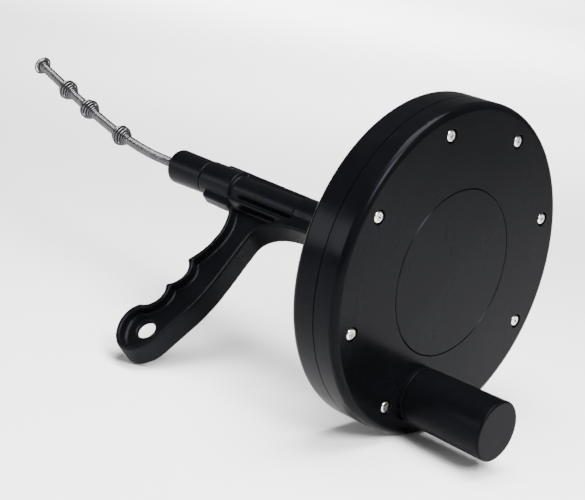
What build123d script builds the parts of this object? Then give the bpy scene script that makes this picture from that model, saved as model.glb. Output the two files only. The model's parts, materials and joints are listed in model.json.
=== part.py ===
from build123d import *

import os
from math import acos, atan2, cos, degrees, hypot, pi, radians, sin, tan

# Hand-cranked drain auger: a round cable drum with a crank knob turns behind a pistol grip, and the
# steel cable leaves through the grip's barrel and a twist-lock nose.
# Millimetres. The origin is the centre of the drum's flat rear face. +X runs along the drum's axis to
# the nose, and +Z is up with the tool laid on a table, on the drum's rim and the end of its handle.

os.makedirs("parts", exist_ok=True)

# ---- driving dimensions ----
drum_radius = 95.0
drum_depth = 31.0
drum_wall = 2.6
drum_edge = 4.0
parting_x = 14.3
parting_gap = 0.6
parting_depth = 1.0
lip_depth = 3.0
groove_radius = 47.7
groove_half = 0.45
groove_depth = 0.5

screw_circle = 81.5
screw_count = 8
screw_phase = -17.9
screw_radius = 1.75
screw_length = 23.0
screw_head_radius = 3.4
screw_head_height = 2.0
screw_head_crown = 1.1
cross_length = 3.6
cross_width = 0.8
cross_depth = 1.1
screw_seat = 2.3
counterbore_radius = 4.1
counterbore_edge = 0.35
boss_radius = 6.0

crank_radius = 70.0
crank_angle = -80.2
collar_radius = 16.3
collar_height = 3.0
collar_edge = 0.6
post_radius = 5.5
post_height = 26.0
knob_base_radius = 16.5
knob_end_radius = 17.2
knob_end = 55.6
knob_edge = 1.2
knob_gap = 0.8
knob_wall = 2.4
knob_end_wall = 3.0
hub_wall = 3.0
bolt_radius = 2.5
bolt_head = 3.5
bolt_head_radius = 4.6
bolt_washer_radius = 6.0
bolt_washer = 1.0
thread_depth = 5.0
running = 0.06
end_play = 0.1

neck_base_radius = 38.0
neck_radius = 17.5
neck_start = 56.0
neck_end = 62.0
neck_floor = 2.0
bushing_radius = 8.0
bushing_start = 48.0
flange_width = 3.0
flange_thick = 1.2

tube_radius = 5.0
tube_bore = 3.6
tube_start = 42.0
tube_end = 190.0
tube_edge = 0.6
ring_groove_x = 44.2
ring_groove_depth = 0.5
ring_width = 2.2
ring_thick = 1.0
washer_width = 4.0
thrust_radius = 14.5
thrust_play = 0.2

grip_start = 63.2
rear_flange_radius = 16.2
rear_flange_end = 67.0
rear_cone_end = 80.0
rear_section_end = 114.0
rear_radius = 10.7
core_radius = 8.8
front_ring_start = 168.0
front_radius = 11.1
nose_joint = 195.5
barrel_edge = 0.4
barrel_inside = 4.0
rib_half = 3.5
keel_half = 4.0

handle_half = 8.0
handle_reach = 128.6
first_cusp = 60.8
second_cusp = 80.6
cusp_rounding = 1.2
flange_top = 10.3
flange_bottom = 13.4
web_half = 1.6
rim_width = 3.3
rim_steps = 12
hang_hole_radius = 5.6
hang_hole_x = 149.9
hang_hole_drop = 109.4

nose_gap = 0.4
nose_root_radius = 10.7
nose_radius = 11.1
nose_edge = 2.6
nose_end = 226.0
spigot_radius = 7.6
spigot_end = 207.0
ring_slot = 203.0
ring_slot_depth = 0.7
ring_slot_width = 1.2
collet_seat = 198.0
collet_radius = 5.4
collet_mouth_radius = 7.0
collet_tip_radius = 5.2
collet_end = 217.0
collet_play = 0.3
collet_slit = 0.9
collet_slit_start = 203.0
cone_end_radius = 5.8

cable_radius = 3.175
coil_inner = 53.0
coil_outer = 75.0
coil_start = 8.5
coil_end = 27.5
coil_rounding = 2.5
lead_x = 14.0
anchor_x = 16.0
anchor_length = 9.0
anchor_width = 12.0
anchor_screw_radius = 1.5
anchor_head_radius = 3.0
anchor_head = 2.0
cable_rear = 62.0
tail_radius = 1.6
bulb_radius = 6.9
bulb_half = 8.2
tip_radius = 6.6
bend_angle = 107.0

# The tool lies on the drum's rim and on the handle's lower corner, so the grip leans by this angle.
lean = acos(drum_radius / hypot(handle_reach, handle_half)) + atan2(handle_half, handle_reach)
left_of_grip = (0, cos(lean), sin(lean))
print("lean of the grip, degrees:", round(degrees(lean), 2))

crank_y = crank_radius * cos(radians(crank_angle))
crank_z = crank_radius * sin(radians(crank_angle))


def across(x):
    """The plane across the drum's axis at x, with local x along +Y and local y along +Z."""
    return Plane(origin=(x, 0, 0), x_dir=(0, 1, 0), z_dir=(1, 0, 0))


def along_grip(offset=0.0):
    """The grip's middle plane: local x along the barrel, local y down the handle."""
    origin = tuple(offset * part for part in left_of_grip)
    return Plane(origin=origin, x_dir=(1, 0, 0), z_dir=left_of_grip)


def crank_plane(x):
    """The plane across the crank knob's own axis at x."""
    return Plane(origin=(x, crank_y, crank_z), x_dir=(0, 1, 0), z_dir=(1, 0, 0))


def screw_places():
    """The places of the cover screws on a plane across the drum."""
    return PolarLocations(screw_circle, screw_count, start_angle=screw_phase)


def finish(piece, name):
    """Labels a finished piece and writes its STEP file."""
    piece.part.label = name
    export_step(piece.part, f"parts/{name}.step")


# ---- drum: rear cover with its screw bosses, crank collar and post ----
with BuildPart() as rear_cover:
    with BuildSketch(Plane.XZ):
        with BuildLine():
            Polyline(
                (0, 0), (0, drum_radius), (parting_x, drum_radius),
                (parting_x, drum_radius - drum_wall),
                (parting_x + lip_depth, drum_radius - drum_wall),
                (parting_x + lip_depth, drum_radius - 2 * drum_wall),
                (drum_wall, drum_radius - 2 * drum_wall), (drum_wall, 0), (0, 0),
            )
        make_face()
    revolve(axis=Axis.X)
    fillet(rear_cover.edges().group_by(Axis.X)[0].sort_by(SortBy.RADIUS)[-1], drum_edge)
    # screw bosses up to the parting plane
    with BuildSketch(across(drum_wall)):
        with screw_places():
            Circle(boss_radius)
    extrude(amount=parting_x - drum_wall)
    with BuildSketch(across(0)):
        with screw_places():
            Circle(counterbore_radius)
    extrude(amount=screw_seat, mode=Mode.SUBTRACT)
    fillet(rear_cover.edges().group_by(Axis.X)[0].filter_by(
        lambda e: abs(e.radius - counterbore_radius) < 0.01), counterbore_edge)
    with BuildSketch(across(0)):
        with screw_places():
            Circle(screw_radius)
    extrude(amount=parting_x, mode=Mode.SUBTRACT)
    # thin ring groove round the middle of the rear face
    with BuildSketch(Plane.XZ):
        with BuildLine():
            Polyline(
                (0, groove_radius - groove_half), (groove_depth, groove_radius),
                (0, groove_radius + groove_half), (0, groove_radius - groove_half),
            )
        make_face()
    revolve(axis=Axis.X, mode=Mode.SUBTRACT)
    # crank collar and hollow post
    with BuildSketch(crank_plane(0)):
        Circle(collar_radius)
    extrude(amount=-collar_height, taper=2)
    fillet(rear_cover.edges().group_by(Axis.X)[0], collar_edge)
    with BuildSketch(crank_plane(0)):
        Circle(post_radius)
    extrude(amount=-post_height)
    with BuildSketch(crank_plane(drum_wall)):
        Circle(bolt_radius + running)
    extrude(amount=-(post_height + drum_wall), mode=Mode.SUBTRACT)
finish(rear_cover, "drum_rear_cover")

# ---- drum: front shell with its neck ----
with BuildPart() as front_shell:
    with BuildSketch(Plane.XZ):
        with BuildLine():
            Polyline(
                (parting_x, drum_radius - parting_depth),
                (parting_x + parting_gap, drum_radius - parting_depth),
                (parting_x + parting_gap, drum_radius), (drum_depth, drum_radius),
                (drum_depth, neck_base_radius), (neck_start, neck_radius), (neck_end, neck_radius),
                (neck_end, bushing_radius), (bushing_start, bushing_radius),
                (bushing_start, neck_radius - drum_wall),
                (bushing_start - neck_floor, neck_radius - drum_wall),
                (drum_depth - drum_wall, neck_base_radius - drum_wall),
                (drum_depth - drum_wall, drum_radius - drum_wall),
                (parting_x, drum_radius - drum_wall), (parting_x, drum_radius - parting_depth),
            )
        make_face()
    revolve(axis=Axis.X)
    outer_rim = front_shell.edges().filter_by(GeomType.CIRCLE).filter_by(
        lambda e: abs(e.radius - drum_radius) < 0.01 and abs(e.center().X - drum_depth) < 0.01)
    fillet(outer_rim, drum_edge)
    # bosses that take the cover screws
    with BuildSketch(across(parting_x)):
        with screw_places():
            Circle(boss_radius)
    extrude(amount=drum_depth - drum_wall - parting_x)
    with BuildSketch(across(parting_x)):
        with screw_places():
            Circle(screw_radius)
    extrude(amount=screw_seat + screw_length - parting_x, mode=Mode.SUBTRACT)
finish(front_shell, "drum_front_shell")

# ---- eight pan-head screws with cross recesses ----
head_x = screw_seat - screw_head_height
with BuildPart() as cover_screws:
    with BuildSketch(across(head_x)):
        with screw_places():
            Circle(screw_head_radius)
    extrude(amount=screw_head_height)
    fillet(cover_screws.edges().group_by(Axis.X)[0], screw_head_crown)
    with BuildSketch(across(screw_seat)):
        with screw_places():
            Circle(screw_radius)
    extrude(amount=screw_length)
    with BuildSketch(across(head_x)):
        with screw_places():
            Rectangle(cross_length, cross_width)
            Rectangle(cross_width, cross_length)
    extrude(amount=cross_depth, mode=Mode.SUBTRACT)
finish(cover_screws, "cover_screws")

# ---- crank knob: a closed cup that turns on the post, held by a bolt from inside the drum ----
knob_base = collar_height + knob_gap
bolt_end = knob_end - thread_depth
post_clear = post_height + 1
with BuildPart() as crank_knob:
    with BuildSketch(Plane(origin=(0, crank_y, crank_z), x_dir=(1, 0, 0), z_dir=(0, -1, 0))):
        with BuildLine():
            Polyline(
                (-knob_base, knob_base_radius), (-knob_end, knob_end_radius), (-knob_end, 0),
                (-bolt_end, 0), (-bolt_end, bolt_radius), (-post_clear, bolt_radius),
                (-post_clear, post_radius + running), (-knob_base, post_radius + running),
                (-knob_base, post_radius + hub_wall), (-(knob_end - knob_end_wall), post_radius + hub_wall),
                (-(knob_end - knob_end_wall), knob_end_radius - knob_wall),
                (-knob_base, knob_base_radius - knob_wall), (-knob_base, knob_base_radius),
            )
        make_face()
    revolve(axis=Axis((0, crank_y, crank_z), (1, 0, 0)))
    fillet(crank_knob.edges().group_by(Axis.X)[0], knob_edge)
finish(crank_knob, "crank_knob")

with BuildPart() as knob_outer_washer:
    with BuildSketch(crank_plane(-collar_height - end_play)):
        Circle(post_radius + hub_wall + 1)
        Circle(post_radius + running, mode=Mode.SUBTRACT)
    extrude(amount=-(knob_gap - 2 * end_play))
finish(knob_outer_washer, "knob_outer_washer")

with BuildPart() as knob_inner_washer:
    with BuildSketch(crank_plane(drum_wall + end_play)):
        Circle(bolt_washer_radius)
        Circle(bolt_radius, mode=Mode.SUBTRACT)
    extrude(amount=bolt_washer)
finish(knob_inner_washer, "knob_inner_washer")

bolt_seat = drum_wall + end_play + bolt_washer
with BuildPart() as knob_bolt:
    with BuildSketch(crank_plane(bolt_seat)):
        RegularPolygon(bolt_head_radius, 6)
    extrude(amount=bolt_head)
    with BuildSketch(crank_plane(bolt_seat)):
        Circle(bolt_radius)
    extrude(amount=-(bolt_end + bolt_seat))
finish(knob_bolt, "knob_bolt")

# ---- drum bearing: flanged bushing in the neck ----
with BuildPart() as hub_bushing:
    with BuildSketch(across(bushing_start)):
        Circle(bushing_radius)
        Circle(tube_radius + running, mode=Mode.SUBTRACT)
    extrude(amount=neck_end - bushing_start)
    with BuildSketch(across(bushing_start)):
        Circle(bushing_radius + flange_width)
        Circle(tube_radius + running, mode=Mode.SUBTRACT)
    extrude(amount=-flange_thick)
finish(hub_bushing, "hub_bushing")

# ---- guide tube, fixed in the grip, that the drum turns on, and what keeps the drum on it ----
groove_floor = tube_radius - ring_groove_depth
with BuildPart() as guide_tube:
    with BuildSketch(across(tube_start)):
        Circle(tube_radius)
        Circle(tube_bore, mode=Mode.SUBTRACT)
    extrude(amount=tube_end - tube_start)
    with BuildSketch(across(ring_groove_x)):
        Circle(tube_radius)
        Circle(groove_floor, mode=Mode.SUBTRACT)
    extrude(amount=ring_thick, mode=Mode.SUBTRACT)
    fillet(guide_tube.edges().group_by(Axis.X)[0].sort_by(SortBy.RADIUS)[-1], tube_edge)
finish(guide_tube, "guide_tube")

with BuildPart() as retaining_ring:
    with BuildSketch(across(ring_groove_x)):
        Circle(tube_radius + ring_width)
        Circle(groove_floor, mode=Mode.SUBTRACT)
        with Locations((0, -tube_radius - 0.5)):
            Rectangle(4.0, 5.0, mode=Mode.SUBTRACT)
    extrude(amount=ring_thick)
finish(retaining_ring, "retaining_ring")

with BuildPart() as hub_washer:
    with BuildSketch(across(ring_groove_x + ring_thick)):
        Circle(tube_radius + washer_width)
        Circle(tube_radius, mode=Mode.SUBTRACT)
    extrude(amount=flange_thick)
finish(hub_washer, "hub_washer")

with BuildPart() as thrust_washer:
    with BuildSketch(across(neck_end + thrust_play)):
        Circle(thrust_radius)
        Circle(tube_radius, mode=Mode.SUBTRACT)
    extrude(amount=grip_start - neck_end - thrust_play)
finish(thrust_washer, "thrust_washer")

# ---- pistol grip: barrel and handle in one moulding ----
def handle_back():
    """The handle's outline from the last finger, round its end and up the back to the barrel."""
    side = Spline(
        (161.3, 99.1), (166.2, 109.5), (159.6, 123.8), (148.0, handle_reach), (137.0, 121.6),
        (132.0, 106.0), (128.0, 86.0), (127.2, 66.0), (128.6, 46.0), (129.6, 32.0),
    )
    root = Bezier((129.6, 32.0), (129.9, 20.0), (117.0, 15.0), (96.0, 15.0))
    return side, root


def handle_curves():
    """The handle's finger side, from the barrel down, and then its back."""
    Spline((166.6, flange_top), (156.4, 20.7), (150.8, 34.0), (151.0, 48.0), (156.0, first_cusp))
    ThreePointArc((156.0, first_cusp), (149.5, 69.8), (156.4, second_cusp))
    ThreePointArc((156.4, second_cusp), (152.5, 90.0), (161.3, 99.1))
    handle_back()


def set_in(edge):
    """Points along an edge of the handle's outline, set in by the width of the rim."""
    places = [step / rim_steps for step in range(rim_steps + 1)]
    return [edge @ place + rim_width * (edge % place).rotate(Axis.Z, 90) for place in places]


def scoop_curves():
    """The edge of the scooped side: the finger side and the inset back, closed above the flange."""
    with BuildLine(mode=Mode.PRIVATE):
        side, root = handle_back()
    side_points, root_points = set_in(side), set_in(root)
    root_points[0] = side_points[-1]
    Spline((163.2, flange_bottom), (154.0, 20.2), (148.3, 34.0), (148.5, 47.6), (152.0, 59.4))
    ThreePointArc((152.0, 59.4), (147.0, 69.8), (152.2, 80.2))
    ThreePointArc((152.2, 80.2), (150.0, 90.6), side_points[0])
    Spline(*side_points)
    Spline(*root_points)
    Polyline(root_points[-1], (root_points[-1].X, 0), (163.2, 0), (163.2, flange_bottom))


def round_cusps(sketch):
    """Rounds the two ridges between the fingers."""
    fillet(sketch.vertices().filter_by(
        lambda v: min(abs(v.Y - first_cusp), abs(v.Y - second_cusp)) < 0.1), cusp_rounding)


ring_slot_floor = spigot_radius - ring_slot_depth
with BuildPart() as pistol_grip:
    # handle slab
    with BuildSketch(along_grip(-handle_half)) as handle_outline:
        with BuildLine():
            handle_curves()
            Polyline(
                (96.0, 15.0), (70.0, 13.5), (70.0, barrel_inside), (rear_section_end, barrel_inside),
                (rear_section_end, flange_top), (166.6, flange_top),
            )
        make_face()
        round_cusps(handle_outline)
    extrude(amount=2 * handle_half)
    # scooped out from both sides, which leaves a rim round a thin web
    for start in (-handle_half, web_half):
        with BuildSketch(along_grip(start)):
            with BuildLine():
                scoop_curves()
            make_face()
            # the scoop ends flat at the flange under the barrel
            with Locations((130.0, flange_bottom)):
                Rectangle(100, 20, align=(Align.CENTER, Align.MAX), mode=Mode.SUBTRACT)
        extrude(amount=handle_half - web_half, mode=Mode.SUBTRACT)
    # web between the barrel's core and the rim
    with BuildSketch(along_grip(-rib_half)):
        with BuildLine():
            Polyline(
                (rear_section_end - 1, barrel_inside), (front_ring_start + 1, barrel_inside),
                (front_ring_start + 1, flange_top), (rear_section_end - 1, flange_top),
                (rear_section_end - 1, barrel_inside),
            )
        make_face()
    extrude(amount=2 * rib_half)
    # top rib, lower towards the drum
    with BuildSketch(along_grip(-rib_half)):
        with BuildLine():
            Polyline(
                (84.0, -barrel_inside), (84.0, -10.2), (106.0, -10.6), (186.0, -12.4), (188.0, -10.5),
                (188.0, -barrel_inside), (84.0, -barrel_inside),
            )
        make_face()
    extrude(amount=2 * rib_half)
    # keel under the front ring
    with BuildSketch(along_grip(-keel_half)):
        with BuildLine():
            Polyline(
                (164.0, barrel_inside), (189.6, barrel_inside), (188.6, 14.2), (187.4, 15.2),
                (164.0, 15.8), (164.0, barrel_inside),
            )
        make_face()
    extrude(amount=2 * keel_half)
    # barrel: rear flange, core, front ring and the spigot inside the nose collar
    with BuildSketch(Plane.XZ):
        with BuildLine():
            Polyline(
                (grip_start, 0), (grip_start, rear_flange_radius - barrel_edge),
                (grip_start + barrel_edge, rear_flange_radius), (rear_flange_end, rear_flange_radius),
                (rear_cone_end, rear_radius), (rear_section_end - barrel_edge, rear_radius),
                (rear_section_end, rear_radius - barrel_edge), (rear_section_end, core_radius),
                (front_ring_start, core_radius), (front_ring_start, front_radius - barrel_edge),
                (front_ring_start + barrel_edge, front_radius), (nose_joint - barrel_edge, front_radius),
                (nose_joint, front_radius - barrel_edge), (nose_joint, spigot_radius),
                (ring_slot, spigot_radius), (ring_slot, ring_slot_floor),
                (ring_slot + ring_slot_width, ring_slot_floor), (ring_slot + ring_slot_width, spigot_radius),
                (spigot_end, spigot_radius), (spigot_end, 0), (grip_start, 0),
            )
        make_face()
    revolve(axis=Axis.X)
    # bore for the guide tube, the cable and the collet
    with BuildSketch(across(grip_start)):
        Circle(tube_radius)
    extrude(amount=tube_end - grip_start, mode=Mode.SUBTRACT)
    with BuildSketch(across(tube_end)):
        Circle(tube_bore)
    extrude(amount=collet_seat - tube_end, mode=Mode.SUBTRACT)
    with BuildSketch(across(collet_seat)):
        Circle(collet_radius)
    extrude(amount=spigot_end - collet_seat, mode=Mode.SUBTRACT)
    # hang hole through the web near the handle's end
    with BuildSketch(along_grip(-web_half - 1)):
        with Locations((hang_hole_x, hang_hole_drop)):
            Circle(hang_hole_radius)
    extrude(amount=2 * web_half + 2, mode=Mode.SUBTRACT)
finish(pistol_grip, "pistol_grip")

# ---- nose: split collet on the cable, and the collar whose inner cone closes it ----
with BuildPart() as nose_collet:
    with BuildSketch(Plane.XZ):
        with BuildLine():
            Polyline(
                (collet_seat, cable_radius + collet_play), (collet_seat, collet_radius),
                (spigot_end, collet_radius), (spigot_end, collet_mouth_radius),
                (collet_end, collet_tip_radius), (collet_end, cable_radius + collet_play),
                (collet_seat, cable_radius + collet_play),
            )
        make_face()
    revolve(axis=Axis.X)
    with BuildSketch(across(collet_slit_start)):
        Rectangle(4 * collet_mouth_radius, collet_slit)
        Rectangle(collet_slit, 4 * collet_mouth_radius)
    extrude(amount=collet_end + 1 - collet_slit_start, mode=Mode.SUBTRACT)
finish(nose_collet, "nose_collet")

with BuildPart() as collar_snap_ring:
    with BuildSketch(across(ring_slot)):
        Circle(spigot_radius + 0.5)
        Circle(ring_slot_floor, mode=Mode.SUBTRACT)
        with Locations((0, spigot_radius)):
            Rectangle(2.4, 3.0, mode=Mode.SUBTRACT)
    extrude(amount=ring_slot_width)
finish(collar_snap_ring, "collar_snap_ring")

with BuildPart() as nose_collar:
    bore = spigot_radius + running
    rear = nose_joint + nose_gap
    mouth = cable_radius + 3 * collet_play
    with BuildSketch(Plane.XZ):
        with BuildLine():
            Polyline(
                (rear, bore), (rear, nose_root_radius - barrel_edge),
                (rear + barrel_edge, nose_root_radius), (nose_end - nose_edge, nose_radius),
                (nose_end, nose_radius), (nose_end, mouth), (collet_end + 4, mouth),
                (collet_end + 1, cone_end_radius), (spigot_end, bore),
                (ring_slot + ring_slot_width + 0.2, bore),
                (ring_slot + ring_slot_width + 0.2, spigot_radius + 0.7),
                (ring_slot - 0.2, spigot_radius + 0.7), (ring_slot - 0.2, bore), (rear, bore),
            )
        make_face()
    revolve(axis=Axis.X)
    fillet(nose_collar.edges().group_by(Axis.X)[-1].sort_by(SortBy.RADIUS)[-1], nose_edge)
finish(nose_collar, "nose_collar")

# ---- cable: wound store, lead to the guide tube, and the clamp of its inner end ----
with BuildPart() as cable_coil:
    with BuildSketch(Plane.XZ):
        with Locations(((coil_start + coil_end) / 2, (coil_inner + coil_outer) / 2)):
            RectangleRounded(coil_end - coil_start, coil_outer - coil_inner, coil_rounding)
    revolve(axis=Axis.X)
finish(cable_coil, "cable_coil")

lead_start = coil_inner - 0.1
lead_bend = tube_start - 0.5 - lead_x
with BuildPart() as cable_lead:
    with BuildLine():
        Polyline((lead_x, 0, lead_start), (lead_x, 0, lead_bend))
        ThreePointArc(
            (lead_x, 0, lead_bend),
            (lead_x + lead_bend * (1 - cos(pi / 4)), 0, lead_bend * (1 - sin(pi / 4))),
            (lead_x + lead_bend, 0, 0),
        )
    with BuildSketch(Plane(origin=(lead_x, 0, lead_start), x_dir=(1, 0, 0), z_dir=(0, 0, -1))):
        Circle(cable_radius)
    sweep()
finish(cable_lead, "cable_lead")

# the clamp stands on the front shell's floor, midway between two screw bosses
anchor_turn = radians(screw_phase + 180 / screw_count)
anchor_place = coil_outer + anchor_length / 2 + 0.7
anchor_height = drum_depth - drum_wall - anchor_x


def anchor_plane(x):
    """The plane across the drum at x, with local x out to the clamp."""
    return Plane(origin=(x, 0, 0), x_dir=(0, cos(anchor_turn), sin(anchor_turn)), z_dir=(1, 0, 0))


with BuildPart() as cable_anchor:
    with BuildSketch(anchor_plane(anchor_x)):
        with Locations((anchor_place, 0)):
            Rectangle(anchor_length, anchor_width)
            Circle(anchor_screw_radius, mode=Mode.SUBTRACT)
    extrude(amount=anchor_height)
finish(cable_anchor, "cable_anchor")

with BuildPart() as anchor_screw:
    with BuildSketch(anchor_plane(anchor_x)):
        with Locations((anchor_place, 0)):
            Circle(anchor_head_radius)
    extrude(amount=-anchor_head)
    with BuildSketch(anchor_plane(anchor_x)):
        with Locations((anchor_place, 0)):
            Circle(anchor_screw_radius)
    extrude(amount=anchor_height)
finish(anchor_screw, "anchor_screw")

# ---- cable in the barrel, the free stretch outside, and the bulb head ----
with BuildPart() as cable_in_barrel:
    with BuildSketch(across(cable_rear)):
        Circle(cable_radius)
    extrude(amount=nose_end - cable_rear)
finish(cable_in_barrel, "cable_in_barrel")


def bent(x, rise):
    """A point on the free cable: x along the axis, rise away from it in the plane it bends in."""
    return (x, rise * cos(radians(bend_angle)), rise * sin(radians(bend_angle)))


# The cable runs on into the head's first bulb as a thinner tail.
route = [bent(nose_end, 0), bent(243.0, 0), bent(260.5, 1.1), bent(278.0, 3.35)]
tail_end = bent(295.3, 6.0)
legs = [Vector(b) - Vector(a) for a, b in zip(route, route[1:])]
route_radii = [
    0.45 * min(before.length, after.length) / tan(radians(before.get_angle(after)) / 2)
    for before, after in zip(legs, legs[1:])
]
print("cable bend radii:", [round(r, 1) for r in route_radii])

with BuildPart() as snake_cable:
    with BuildLine() as cable_path:
        FilletPolyline(*route, radius=route_radii)
    with BuildSketch(across(nose_end)):
        Circle(cable_radius)
    sweep()
    cable_length = cable_path.wires()[0].length
    print("free cable:", round(cable_length, 1), "long, volume", round(snake_cable.part.volume, 1),
          "against section times length", round(pi * cable_radius ** 2 * cable_length, 1))
    tail = Vector(tail_end) - Vector(route[-1])
    with BuildSketch(Plane(origin=route[-1], z_dir=tail)):
        Circle(tail_radius)
    extrude(amount=tail.length)
print("free cable with its tail:", round(cable_length + tail.length, 1))
finish(snake_cable, "snake_cable")

# Three bulbs and a flared tip in one run of wire, whose links bend a little further at each bulb.
bulb_centres = [bent(287.3, 4.77), bent(326.8, 13.6), bent(355.1, 21.1)]
tip_end = bent(391.5, 31.3)
with BuildPart() as auger_head:
    stops = [route[-1], *bulb_centres, tip_end]
    for start, end in zip(stops, stops[1:]):
        link = Vector(end) - Vector(start)
        with BuildSketch(Plane(origin=start, z_dir=link)):
            Circle(cable_radius)
        extrude(amount=link.length)
    bend_side = (0, -sin(radians(bend_angle)), cos(radians(bend_angle)))
    for before, centre in zip(stops, bulb_centres):
        along = Vector(centre) - Vector(before)
        with BuildSketch(Plane(origin=centre, x_dir=along, z_dir=bend_side)):
            with BuildLine():
                ThreePointArc((-bulb_half, cable_radius), (0, bulb_radius), (bulb_half, cable_radius))
                Polyline((bulb_half, cable_radius), (bulb_half, 0), (-bulb_half, 0),
                         (-bulb_half, cable_radius))
            make_face()
        revolve(axis=Axis(centre, along))
    last = Vector(tip_end) - Vector(bulb_centres[-1])
    with BuildSketch(Plane(origin=tip_end, x_dir=last, z_dir=bend_side)):
        with BuildLine():
            ThreePointArc((-6.0, cable_radius), (-2.6, 4.1), (-0.8, tip_radius - 0.3))
            Polyline((-0.8, tip_radius - 0.3), (0, tip_radius), (1.0, tip_radius), (1.0, 0), (-6.0, 0),
                     (-6.0, cable_radius))
        make_face()
    revolve(axis=Axis(tip_end, last))
    # socket for the cable's tail
    with BuildSketch(Plane(origin=route[-1], z_dir=tail)):
        Circle(tail_radius)
    extrude(amount=tail.length, mode=Mode.SUBTRACT)
finish(auger_head, "auger_head")
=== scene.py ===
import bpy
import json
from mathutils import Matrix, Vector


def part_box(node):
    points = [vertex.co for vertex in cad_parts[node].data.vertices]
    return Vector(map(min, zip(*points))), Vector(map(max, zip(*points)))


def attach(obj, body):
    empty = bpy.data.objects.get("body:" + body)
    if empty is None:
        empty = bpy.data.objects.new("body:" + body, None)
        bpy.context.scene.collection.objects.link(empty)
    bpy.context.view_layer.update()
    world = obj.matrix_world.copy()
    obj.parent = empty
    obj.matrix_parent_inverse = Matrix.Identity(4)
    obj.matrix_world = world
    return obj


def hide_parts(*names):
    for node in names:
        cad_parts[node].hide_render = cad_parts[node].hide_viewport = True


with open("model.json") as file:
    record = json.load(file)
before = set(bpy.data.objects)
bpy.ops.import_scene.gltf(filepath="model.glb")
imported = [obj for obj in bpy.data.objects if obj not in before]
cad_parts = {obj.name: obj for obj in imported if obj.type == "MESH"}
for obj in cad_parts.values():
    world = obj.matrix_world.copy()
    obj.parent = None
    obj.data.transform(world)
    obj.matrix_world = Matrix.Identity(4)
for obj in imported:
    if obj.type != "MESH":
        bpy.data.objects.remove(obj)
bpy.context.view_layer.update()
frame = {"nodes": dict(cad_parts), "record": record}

import json
from math import cos, pi, radians, sin

import bpy
import numpy as np
import openvdb
from mathutils import Quaternion, Vector

# A drain auger laid on a table. Places are in the CAD row's frame, in metres: +X from the drum to the
# nose, +Z up, origin at the centre of the drum's rear face.
MM = 0.001
FLOOR_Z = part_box("drum_front_shell")[0].z


# ---- camera ----
def add_camera():
    place, target = Vector((-0.4273, 0.6188, 0.2036)), Vector((0.0700, 0.0543, -0.0035))
    data = bpy.data.cameras.new("camera")
    data.sensor_width, data.lens = 36.0, 87.5
    camera = bpy.data.objects.new("camera", data)
    camera.location = place
    camera.rotation_mode = "QUATERNION"
    look = (target - place).to_track_quat("-Z", "Y")
    camera.rotation_quaternion = look @ Quaternion((0, 0, 1), radians(9.515))
    bpy.context.scene.collection.objects.link(camera)
    bpy.context.scene.camera = camera


# ---- meshes ----
def add_mesh(name, points, faces):
    """A smooth mesh from points and faces of one size, such as an array of quads."""
    faces = np.asarray(faces, np.int32)
    count, corners = faces.shape
    mesh = bpy.data.meshes.new(name)
    mesh.vertices.add(len(points))
    mesh.vertices.foreach_set("co", np.asarray(points, np.float32).ravel())
    mesh.loops.add(faces.size)
    mesh.loops.foreach_set("vertex_index", faces.ravel())
    mesh.polygons.add(count)
    mesh.polygons.foreach_set("loop_start", np.arange(0, faces.size, corners, dtype=np.int32))
    mesh.update(calc_edges=True)
    mesh.validate()
    mesh.shade_smooth()
    piece = bpy.data.objects.new(name, mesh)
    bpy.context.scene.collection.objects.link(piece)
    return piece


def join_meshes(first, *others):
    """Joins pieces into the first one, with the others' materials in slots of their own."""
    with bpy.context.temp_override(active_object=first, selected_editable_objects=[first, *others]):
        bpy.ops.object.join()
    return first


# ---- the cable: one line from the nose to the tip, and wire wound round it ----
CABLE_RADIUS = 3.175 * MM
TAIL_RADIUS = 1.6 * MM
BULB_RADIUS = 7.0 * MM
BELL_RADIUS = 6.6 * MM
WIRE = 0.96 * MM
PITCH = 1.08 * MM
CORE_SHARE = 0.72
BULB_REAR = 9.0 * MM
BULB_FRONT = 7.0 * MM
SWELL_POWER = 1.6
BELL_REACH = 5.0 * MM
BELL_RISE = 4.2 * MM
WIDE_WIRE = 0.3
TURN_GAP = 1.08
LINE_STEPS = 4000
CORE_STEP = 0.4 * MM
BEND_ANGLE = radians(107.0)
BEND_SIDE = np.array([0.0, -sin(BEND_ANGLE), cos(BEND_ANGLE)])


def bent(x, rise):
    """A point on the free cable, from millimetres along the axis and away from it."""
    return (x * MM, rise * cos(BEND_ANGLE) * MM, rise * sin(BEND_ANGLE) * MM)


NOSE_END = bent(226.0, 0)
ROUTE = [NOSE_END, bent(243.0, 0), bent(260.5, 1.1), bent(278.0, 3.35)]
TAIL_END = bent(295.3, 6.0)
BULBS = [bent(287.3, 4.77), bent(326.8, 13.6), bent(355.1, 21.1)]
TIP = bent(391.5, 31.3)


def spline_points(route):
    """Points along the NURBS spline that has the route's points as its control points."""
    curve = bpy.data.curves.new("route", "CURVE")
    curve.dimensions = "3D"
    curve.resolution_u = 24
    spline = curve.splines.new("NURBS")
    spline.points.add(len(route) - 1)
    for point, place in zip(spline.points, route):
        point.co = (*place, 1.0)
    spline.order_u = 3
    spline.use_endpoint_u = True
    holder = bpy.data.objects.new("route", curve)
    mesh = bpy.data.meshes.new_from_object(holder)
    line = np.array([v.co for v in mesh.vertices], float)
    bpy.data.objects.remove(holder)
    bpy.data.meshes.remove(mesh)
    return line


def along(line):
    """The distance along a line of each of its points."""
    return np.concatenate([[0.0], np.cumsum(np.linalg.norm(np.diff(line, axis=0), axis=1))])


def nearest_along(line, place):
    return along(line)[np.linalg.norm(line - np.array(place), axis=1).argmin()]


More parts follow.
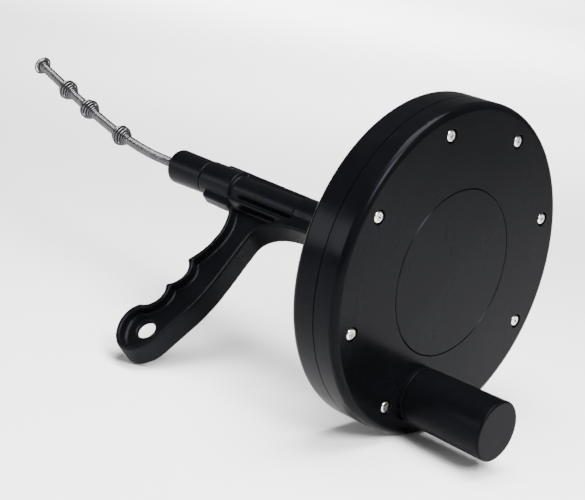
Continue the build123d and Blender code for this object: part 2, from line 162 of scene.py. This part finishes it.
def wind(name, line, radius_at, pitch_at, thickness_at, per_turn=20, per_ring=8):
    """A wire wound round a line. The radius, pitch and thickness are functions of the distance along it."""
    fine = np.linspace(0, along(line)[-1], LINE_STEPS)
    turns = np.concatenate([[0.0], np.cumsum(np.diff(fine) / pitch_at(fine[:-1]))])
    count = int(turns[-1] * per_turn)
    turn = np.arange(count + 1) / per_turn
    at = np.interp(turn, turns, fine)
    centre = np.stack([np.interp(at, along(line), line[:, k]) for k in range(3)], axis=1)
    forward = np.gradient(centre, axis=0)
    forward /= np.linalg.norm(forward, axis=1)[:, None]
    up = np.cross(forward, BEND_SIDE)
    angle = (2 * pi * turn)[:, None]
    out = np.cos(angle) * BEND_SIDE + np.sin(angle) * up
    half = thickness_at(at) / 2
    wire = centre + out * (radius_at(at) - half)[:, None]
    heading = np.gradient(wire, axis=0)
    heading /= np.linalg.norm(heading, axis=1)[:, None]
    lift = np.cross(heading, out)
    ring = np.arange(per_ring) * 2 * pi / per_ring
    across = np.cos(ring)[None, :, None] * out[:, None] + np.sin(ring)[None, :, None] * lift[:, None]
    rings = wire[:, None] + half[:, None, None] * across
    return add_mesh(name, capped(rings), tube_faces(count + 1, per_ring))


def capped(rings):
    """The points of a tube's rings, with a point added at the middle of each end."""
    return np.concatenate([rings.reshape(-1, 3), [rings[0].mean(axis=0)], [rings[-1].mean(axis=0)]])


def tube_faces(ring_count, per_ring):
    """Triangles over rings of points and fans over both ends, facing outwards."""
    here = np.arange((ring_count - 1) * per_ring).reshape(-1, per_ring)
    beside = np.roll(here, -1, axis=1)
    sides = np.concatenate([np.stack([here, beside, beside + per_ring], axis=2).reshape(-1, 3),
                            np.stack([here, beside + per_ring, here + per_ring], axis=2).reshape(-1, 3)])
    first = np.arange(per_ring)
    last = first + (ring_count - 1) * per_ring
    start, end = ring_count * per_ring, ring_count * per_ring + 1
    near = np.stack([np.roll(first, -1), first, np.full(per_ring, start)], axis=1)
    far = np.stack([last, np.roll(last, -1), np.full(per_ring, end)], axis=1)
    return np.concatenate([sides, near, far])


def add_shade_core(name, line, radius_at, per_ring=24):
    """A round core along a line, coloured near-black as painted shade: the dark that shows between the turns
    of wire.
    """
    at = np.arange(0, along(line)[-1], CORE_STEP)
    centre = np.stack([np.interp(at, along(line), line[:, k]) for k in range(3)], axis=1)
    forward = np.gradient(centre, axis=0)
    forward /= np.linalg.norm(forward, axis=1)[:, None]
    up = np.cross(forward, BEND_SIDE)
    ring = np.arange(per_ring) * 2 * pi / per_ring
    out = np.cos(ring)[None, :, None] * BEND_SIDE + np.sin(ring)[None, :, None] * up[:, None]
    rings = centre[:, None] + radius_at(at)[:, None, None] * out
    return add_mesh(name, capped(rings), tube_faces(len(at), per_ring))


def add_wound(name, node, line, radius_at, pitch_at, thickness_at, finishes, **density):
    """A wound piece with its core in painted shade, in place of a CAD node."""
    piece = wind(name, line, radius_at, pitch_at, thickness_at, **density)
    core = add_shade_core(name + "_core", line, lambda at: CORE_SHARE * radius_at(at))
    paint(piece, finishes["cable_steel"])
    # The core's near-black colour is painted shade, not a dark part of the cable.
    paint(core, finishes["hollow"])
    join_meshes(piece, core)
    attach(piece, "snake")
    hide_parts(node)
    return piece


def even_pitch(at):
    return np.full_like(at, PITCH)


def even_thickness(at):
    return np.full_like(at, WIRE)


def hump(at, middle, reach):
    """A smooth bell curve, 1 at its middle and about a third at its reach."""
    return np.exp(-((at - middle) / reach) ** 2)


def add_cable(finishes):
    """The free cable and its bulb head, and the cable in the barrel."""
    line = spline_points(ROUTE + [TAIL_END] + BULBS[1:] + [TIP])
    distances = along(line)
    total = distances[-1]
    socket_at = nearest_along(line, ROUTE[-1])
    tail_at = nearest_along(line, TAIL_END)
    bulbs_at = [nearest_along(line, place) for place in BULBS]
    cable_line = line[distances <= tail_at]
    head_line = line[distances >= socket_at]

    def cable_radius(at):
        return np.where(at < socket_at, CABLE_RADIUS, TAIL_RADIUS)

    def head_radius(at):
        at = at + socket_at
        radius = np.full_like(at, CABLE_RADIUS)
        for bulb_at in bulbs_at:
            reach = np.where(at < bulb_at, BULB_REAR, BULB_FRONT)
            share = np.clip(np.abs(at - bulb_at) / reach, 0, 1)
            radius += (BULB_RADIUS - CABLE_RADIUS) * np.cos(share * pi / 2) ** SWELL_POWER
        flare = np.clip((at - (total - BELL_REACH)) / BELL_RISE, 0, 1)
        return radius + (BELL_RADIUS - CABLE_RADIUS) * flare ** SWELL_POWER

    def head_thickness(at):
        """The wire looks heavier in the wide turns."""
        wide = np.clip((head_radius(at) - CABLE_RADIUS) / (BULB_RADIUS - CABLE_RADIUS), 0, 1)
        return WIRE * (1 + WIDE_WIRE * wide)

    def head_pitch(at):
        """Turns that nearly touch, but for the open ones on each bulb and the gap before the tip."""
        slope = np.gradient(head_radius(at), at)
        pitch = TURN_GAP * head_thickness(at) / np.sqrt(1 + slope ** 2)
        for bulb_at in bulbs_at:
            past = at + socket_at - bulb_at
            pitch += 0.8 * MM * hump(past, -2.5 * MM, 3.5 * MM)
            pitch += 3.0 * MM * hump(past, 1.5 * MM, 1.4 * MM)
        return pitch + 1.0 * MM * hump(at + socket_at - total, -2.2 * MM, 0.8 * MM)

    cable = add_wound("cable_winding", "snake_cable", cable_line, cable_radius, even_pitch, even_thickness,
                      finishes)
    head = add_wound("head_winding", "auger_head", head_line, head_radius, head_pitch, head_thickness,
                     finishes, per_turn=28)
    rear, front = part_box("cable_in_barrel")[0].x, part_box("cable_in_barrel")[1].x
    add_wound("barrel_winding", "cable_in_barrel", np.array([(rear, 0, 0), (front, 0, 0)]),
              lambda at: np.full_like(at, CABLE_RADIUS), even_pitch, even_thickness, finishes,
              per_turn=16, per_ring=6)


# ---- the grip: the CAD shape with its edges rounded, softly on the handle and finely on the barrel ----
# Millimetres. A rounding is the radius of the outer edges and that of the inner ones. A drop is a
# distance from the barrel's axis down the handle.
GRIP_VOXEL = 0.42
GRID_MARGIN = 8
BAND_CELLS = 3
BARREL_ROUNDING = (0.7, 1.0)
HANDLE_ROUNDING = (1.3, 2.4)
HANDLE_TOP_DROP = 11.0
HANDLE_END_DROP = 101.0
HANDLE_BACK_X = 145.0
DROP_BLEND = 6.0
BACK_BLEND = 5.0
TRIANGLES_KEPT = 0.3
LEAN = radians(46.06)
DOWN_HANDLE = np.array([0.0, sin(LEAN), -cos(LEAN)])


def level_set(points, triangles, reach):
    """A grid of the distances to a closed mesh, in millimetres, as far as reach from its surface."""
    transform = openvdb.createLinearTransform(voxelSize=GRIP_VOXEL)
    return openvdb.FloatGrid.createLevelSetFromPolygons(
        points, triangles, np.zeros((0, 4), np.uint32), transform, halfWidth=reach / GRIP_VOXEL + BAND_CELLS)


def surface(grid, distance):
    """The points and triangles where a grid has one distance."""
    points, triangles, quads = grid.convertToPolygons(isovalue=distance, adaptivity=0)
    return points, np.concatenate([triangles, quads[:, [0, 1, 2]], quads[:, [0, 2, 3]]]).astype(np.uint32)


def rounded(points, triangles, rounding, low, shape):
    """Distances to the shape with its edges rounded, on a box of grid points.

    The shape is moved in and then out past where it was, and the distances take it back.
    """
    convex, concave = rounding
    for distance in (-convex, convex + concave):
        points, triangles = surface(level_set(points, triangles, abs(distance)), distance)
    distances = np.empty(shape, np.float32)
    level_set(points, triangles, 2 * concave).copyToArray(distances, ijk=low)
    return distances + concave


def soft_share(low, shape):
    """How much of the handle's soft rounding each grid point has: all of it at the handle's back and end."""
    x, y, z = [(np.arange(shape[k]) + low[k]) * GRIP_VOXEL for k in range(3)]
    drop = y[:, None] * DOWN_HANDLE[1] + z[None, :] * DOWN_HANDLE[2]
    below_barrel = np.clip((drop - HANDLE_TOP_DROP) / DROP_BLEND, 0, 1)
    at_end = np.clip((drop - HANDLE_END_DROP) / DROP_BLEND, 0, 1)
    at_back = np.clip((HANDLE_BACK_X - x) / BACK_BLEND, 0, 1)
    return (below_barrel * np.maximum(at_back[:, None, None], at_end)).astype(np.float32)


def add_grip(finishes):
    source = frame["nodes"]["pistol_grip"].data
    source.calc_loop_triangles()
    points = np.array([v.co for v in source.vertices], np.float32) / MM
    triangles = np.array([t.vertices for t in source.loop_triangles], np.uint32)
    low = np.floor(points.min(axis=0) / GRIP_VOXEL).astype(int) - GRID_MARGIN
    shape = tuple(np.ceil(points.max(axis=0) / GRIP_VOXEL).astype(int) + GRID_MARGIN - low)
    low = tuple(int(part) for part in low)
    barrel = rounded(points, triangles, BARREL_ROUNDING, low, shape)
    handle = rounded(points, triangles, HANDLE_ROUNDING, low, shape)
    share = soft_share(low, shape)
    grid = openvdb.FloatGrid(float(barrel.max()))
    grid.transform = openvdb.createLinearTransform(voxelSize=GRIP_VOXEL)
    grid.copyFromArray(barrel + share * (handle - barrel), ijk=low)
    points, triangles = surface(grid, 0.0)
    corners = points[triangles]
    volume = np.einsum("ij,ij->", corners[:, 0], np.cross(corners[:, 1], corners[:, 2]))
    if volume < 0:
        triangles = triangles[:, ::-1]
    grip = add_mesh("grip_moulding", points * MM, triangles)
    thin = grip.modifiers.new("thin", "DECIMATE")
    thin.ratio = TRIANGLES_KEPT
    with bpy.context.temp_override(object=grip, active_object=grip):
        bpy.ops.object.modifier_apply(modifier="thin")
    grip.data.shade_smooth()
    paint(grip, finishes["black_grip"])
    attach(grip, "grip")
    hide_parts("pistol_grip")


# ---- materials ----
class Nodes:
    """A material's node tree, with short ways to add and join nodes."""

    def __init__(self, name):
        self.material = bpy.data.materials.new(name)
        self.material.use_nodes = True
        self.tree = self.material.node_tree
        self.shader = self.tree.nodes["Principled BSDF"]
        self.place = self.add("ShaderNodeTexCoord").outputs["Object"]

    def add(self, kind, **settings):
        node = self.tree.nodes.new(kind)
        for key, value in settings.items():
            setattr(node, key, value)
        return node

    def join(self, source, target):
        self.tree.links.new(source, target)

    def noise(self, scale, detail=4.0, roughness=0.55, stretch=(1, 1, 1)):
        mapping = self.add("ShaderNodeMapping")
        mapping.inputs["Scale"].default_value = stretch
        self.join(self.place, mapping.inputs["Vector"])
        noise = self.add("ShaderNodeTexNoise")
        noise.inputs["Scale"].default_value = scale
        noise.inputs["Detail"].default_value = detail
        noise.inputs["Roughness"].default_value = roughness
        self.join(mapping.outputs["Vector"], noise.inputs["Vector"])
        return noise.outputs["Fac"]

    def spread(self, value, low, high, from_low=0.3, from_high=0.7):
        node = self.add("ShaderNodeMapRange")
        for key, number in (("From Min", from_low), ("From Max", from_high), ("To Min", low),
                            ("To Max", high)):
            node.inputs[key].default_value = number
        self.join(value, node.inputs["Value"])
        return node.outputs["Result"]

    def sum(self, first, second):
        node = self.add("ShaderNodeMath", operation="ADD")
        self.join(first, node.inputs[0])
        self.join(second, node.inputs[1])
        return node.outputs["Value"]

    def between(self, value, low, high):
        """A colour that goes from low to high with value."""
        ramp = self.add("ShaderNodeValToRGB")
        ramp.color_ramp.elements[0].color = (*low, 1)
        ramp.color_ramp.elements[1].color = (*high, 1)
        self.join(value, ramp.inputs["Fac"])
        return ramp.outputs["Color"]

    def bump(self, height, distance, strength=1.0):
        node = self.add("ShaderNodeBump")
        node.inputs["Strength"].default_value = strength
        node.inputs["Distance"].default_value = distance
        self.join(height, node.inputs["Height"])
        self.join(node.outputs["Normal"], self.shader.inputs["Normal"])


def black_plastic(name, shine, roughness, stretch=(1, 1, 1)):
    """Satin moulded plastic: a fine grain, cloudy gloss and faint scuffs drawn out along one direction.

    The shine is how much light it reflects head on, as Blender's specular level.
    """
    nodes = Nodes(name)
    cloud = nodes.noise(22, detail=5)
    scuff = nodes.noise(120, detail=6, roughness=0.7, stretch=stretch)
    grain = nodes.noise(2400, detail=2)
    colour = nodes.between(nodes.spread(cloud, 0, 1), (0.0012, 0.0013, 0.0016), (0.0022, 0.0023, 0.0029))
    nodes.join(colour, nodes.shader.inputs["Base Color"])
    nodes.shader.inputs["Specular IOR Level"].default_value = shine
    nodes.shader.inputs["Specular Tint"].default_value = (0.8, 0.82, 1.0, 1)
    gloss = nodes.sum(nodes.spread(cloud, roughness - 0.05, roughness + 0.05),
                      nodes.spread(scuff, 0.0, 0.12, 0.5, 0.75))
    nodes.join(gloss, nodes.shader.inputs["Roughness"])
    height = nodes.sum(grain, nodes.spread(scuff, 0, 0.5))
    nodes.bump(height, 0.00002, 0.3)
    return nodes.material


def steel(name, colour, roughness, edge):
    """Drawn steel. The edge is its tint where the surface turns away."""
    nodes = Nodes(name)
    nodes.shader.inputs["Metallic"].default_value = 1.0
    nodes.shader.inputs["Specular Tint"].default_value = (edge, edge, edge, 1)
    cloud = nodes.noise(220, detail=4)
    drawn = nodes.noise(1800, detail=3)
    dull = tuple(0.72 * part for part in colour)
    nodes.join(nodes.between(nodes.spread(cloud, 0, 1), dull, colour), nodes.shader.inputs["Base Color"])
    nodes.join(nodes.spread(drawn, roughness - 0.07, roughness + 0.09), nodes.shader.inputs["Roughness"])
    nodes.bump(drawn, 0.00001, 0.3)
    return nodes.material


def plain(name, colour, roughness, metallic=0.0):
    nodes = Nodes(name)
    nodes.shader.inputs["Metallic"].default_value = metallic
    cloud = nodes.noise(90, detail=4)
    dull = tuple(0.8 * part for part in colour)
    nodes.join(nodes.between(nodes.spread(cloud, 0, 1), dull, colour), nodes.shader.inputs["Base Color"])
    nodes.join(nodes.spread(cloud, roughness - 0.05, roughness + 0.08), nodes.shader.inputs["Roughness"])
    nodes.bump(nodes.noise(1500), 0.00002, 0.2)
    return nodes.material


def make_finishes():
    """A material for each of the record's material slots, and one of painted shade for the core inside the
    cable.
    """
    return {
        "black_shell": black_plastic("shell_plastic", 0.033, 0.22, stretch=(1, 1, 0.25)),
        "black_grip": black_plastic("grip_plastic", 0.05, 0.34),
        "black_knob": black_plastic("knob_plastic", 0.022, 0.32, stretch=(0.3, 1, 1)),
        "screw_steel": steel("screw_steel", (0.80, 0.80, 0.79), 0.22, 0.5),
        "cable_steel": steel("cable_steel", (0.115, 0.115, 0.122), 0.28, 0.12),
        "inner_steel": steel("inner_steel", (0.5, 0.5, 0.5), 0.4, 0.5),
        "bearing_bronze": plain("bearing_bronze", (0.5, 0.33, 0.15), 0.4, metallic=1.0),
        "nylon": plain("nylon", (0.75, 0.73, 0.66), 0.4),
        # Painted shade: the near-black of the core that fills the gaps between the turns of wire.
        "hollow": plain("hollow", (0.004, 0.004, 0.0045), 0.9),
    }


def paint(piece, material):
    if not piece.material_slots:
        piece.data.materials.append(material)
    for slot in piece.material_slots:
        slot.material = material


def paint_frame(finishes):
    for subpart in frame["record"]["subparts"]:
        paint(frame["nodes"][subpart["node"]], finishes[subpart["material_slot"]])


# ---- table and studio light ----
FLOOR_HALF = 8.0
SKY_STRENGTH = 0.22
# Each softbox has a name, a place, what it faces, its size in metres and its watts.
SOFTBOXES = [
    ("pool", (-0.02, 0.06, 0.82), (0.02, 0.02, 0), (0.6, 0.6), 29),
    ("key", (-1.0, 0.44, 1.0), (0.0, 0.07, 0.06), (0.5, 0.7), 60),
    ("nose_side", (0.95, 1.2, 0.30), (0.0, 0.0, 0.0), (0.8, 0.45), 14),
    ("far", (0.7, -0.9, 0.9), (1.5, -1.8, 0), (1.0, 1.0), 58),
    ("far", (1.3, -1.7, 1.0), (2.1, -2.6, 0), (1.0, 1.0), 66),
    ("far", (2.0, -1.2, 1.0), (2.8, -2.1, 0), (1.0, 1.0), 66),
    ("far", (2.4, -2.9, 1.3), (3.2, -3.8, 0), (1.0, 1.0), 120),
]


def add_floor():
    corners = [(side * FLOOR_HALF, front * FLOOR_HALF, FLOOR_Z)
               for side, front in ((-1, -1), (1, -1), (1, 1), (-1, 1))]
    floor = add_mesh("floor", corners, [(0, 1, 2, 3)])
    nodes = Nodes("table")
    nodes.shader.inputs["Base Color"].default_value = (0.9, 0.9, 0.9, 1)
    nodes.shader.inputs["Roughness"].default_value = 0.7
    nodes.shader.inputs["Specular IOR Level"].default_value = 0.2
    paint(floor, nodes.material)


def add_softbox(name, place, target, size, power):
    data = bpy.data.lights.new(name, "AREA")
    data.shape = "RECTANGLE"
    data.size, data.size_y = size
    data.energy = power
    light = bpy.data.objects.new(name, data)
    light.location = place
    light.rotation_mode = "QUATERNION"
    light.rotation_quaternion = (Vector(target) - Vector(place)).to_track_quat("-Z", "Y")
    bpy.context.scene.collection.objects.link(light)


def add_lights():
    world = bpy.data.worlds.new("world")
    world.use_nodes = True
    world.node_tree.nodes["Background"].inputs["Color"].default_value = (1, 1, 1, 1)
    world.node_tree.nodes["Background"].inputs["Strength"].default_value = SKY_STRENGTH
    bpy.context.scene.world = world
    for softbox in SOFTBOXES:
        add_softbox(*softbox)


add_camera()
finishes = make_finishes()
paint_frame(finishes)
add_cable(finishes)
add_grip(finishes)
add_floor()
add_lights()
